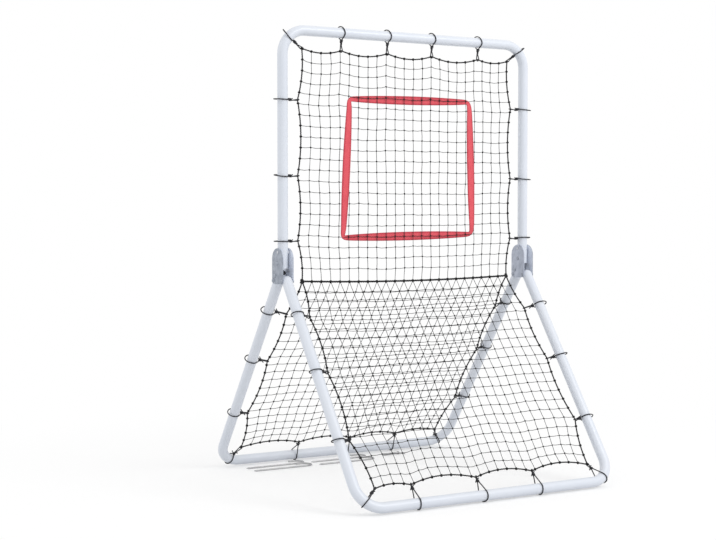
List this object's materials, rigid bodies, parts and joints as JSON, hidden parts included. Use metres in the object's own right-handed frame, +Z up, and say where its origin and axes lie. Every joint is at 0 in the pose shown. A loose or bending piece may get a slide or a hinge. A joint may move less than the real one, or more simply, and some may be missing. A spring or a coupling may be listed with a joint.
{
  "type": "baseball rebound net",
  "caption": "Free-standing rebound net for ball practice: white tube frames that tilt and fold on side brackets, three laced black nets, a red strike zone band, ground stakes and a pin.",
  "frame": {"origin": "floor level, middle of the footprint", "axes": "+Z up, -Y the side the ball is thrown from, +X to the thrower's right"},
  "size_m": [0.7714, 0.767, 1.141],
  "materials": {
    "white_paint": "glossy white powder coat on steel tube",
    "bracket_paint": "grey-blue painted steel, slightly mottled",
    "stake_steel": "plain steel wire",
    "net_twine": "black knotted twine",
    "tie_cord": "black cord",
    "zone_fabric": "red woven band"
  },
  "bodies": {
    "stand": {"rear_frame": "white_paint", "left_outer_plate": "bracket_paint", "left_inner_plate": "bracket_paint", "right_outer_plate": "bracket_paint", "right_inner_plate": "bracket_paint", "left_tilt_rivet": "bracket_paint", "left_front_pivot_rivet": "bracket_paint", "left_rear_upper_rivet": "bracket_paint", "left_rear_lower_rivet": "bracket_paint", "right_tilt_rivet": "bracket_paint", "right_front_pivot_rivet": "bracket_paint", "right_rear_upper_rivet": "bracket_paint", "right_rear_lower_rivet": "bracket_paint", "rear_net": "net_twine", "junction_rope": "net_twine", "rear_bar_tie_1": "tie_cord", "rear_bar_tie_2": "tie_cord", "rear_bar_tie_3": "tie_cord", "left_rear_leg_tie_1": "tie_cord", "left_rear_leg_tie_2": "tie_cord", "left_rear_leg_tie_3": "tie_cord", "right_rear_leg_tie_1": "tie_cord", "right_rear_leg_tie_2": "tie_cord", "right_rear_leg_tie_3": "tie_cord", "left_rear_corner_tie": "tie_cord", "right_rear_corner_tie": "tie_cord"},
    "upper": {"upper_frame": "white_paint", "upper_net": "net_twine", "strike_zone_band": "zone_fabric", "top_tie_1": "tie_cord", "top_tie_2": "tie_cord", "top_tie_3": "tie_cord", "top_tie_4": "tie_cord", "left_post_tie_1": "tie_cord", "left_post_tie_2": "tie_cord", "left_post_tie_3": "tie_cord", "right_post_tie_1": "tie_cord", "right_post_tie_2": "tie_cord", "right_post_tie_3": "tie_cord", "left_upper_corner_tie": "tie_cord", "right_upper_corner_tie": "tie_cord"},
    "front": {"front_frame": "white_paint", "front_net": "net_twine", "front_bar_tie_1": "tie_cord", "front_bar_tie_2": "tie_cord", "front_bar_tie_3": "tie_cord", "left_front_leg_tie_1": "tie_cord", "left_front_leg_tie_2": "tie_cord", "left_front_leg_tie_3": "tie_cord", "right_front_leg_tie_1": "tie_cord", "right_front_leg_tie_2": "tie_cord", "right_front_leg_tie_3": "tie_cord", "left_front_corner_tie": "tie_cord", "right_front_corner_tie": "tie_cord"},
    "stake_1": {"stake_1": "stake_steel"},
    "stake_2": {"stake_2": "stake_steel"},
    "stake_3": {"stake_3": "stake_steel"},
    "stake_4": {"stake_4": "stake_steel"},
    "pin": {"locking_pin": "stake_steel"},
    "ring": {"pin_ring": "stake_steel"}
  },
  "joints": [
    {"name": "upper_tilt", "type": "hinge", "parent": "stand", "child": "upper", "pos_m": [0, 0, 0.553], "axis": [1, 0, 0], "range_deg": [-90, 115]},
    {"name": "front_fold", "type": "hinge", "parent": "stand", "child": "front", "pos_m": [0, -0.02117, 0.51077], "axis": [1, 0, 0], "range_deg": [0, 60]},
    {"name": "stake_1_lift", "type": "slide", "parent": "stand", "child": "stake_1", "axis": [0, 0, 1], "range_m": [0, 0.03]},
    {"name": "stake_2_lift", "type": "slide", "parent": "stand", "child": "stake_2", "axis": [0, 0, 1], "range_m": [0, 0.03]},
    {"name": "stake_3_lift", "type": "slide", "parent": "stand", "child": "stake_3", "axis": [0, 0, 1], "range_m": [0, 0.03]},
    {"name": "stake_4_lift", "type": "slide", "parent": "stand", "child": "stake_4", "axis": [0, 0, 1], "range_m": [0, 0.03]},
    {"name": "pin_lift", "type": "slide", "parent": "stand", "child": "pin", "axis": [0, 0, 1], "range_m": [0, 0.03]},
    {"name": "ring_swing", "type": "hinge", "parent": "pin", "child": "ring", "pos_m": [0.16049, 0.3, 0.00437], "axis": [0, -1, 0], "range_deg": [0, 110]}
  ]
}
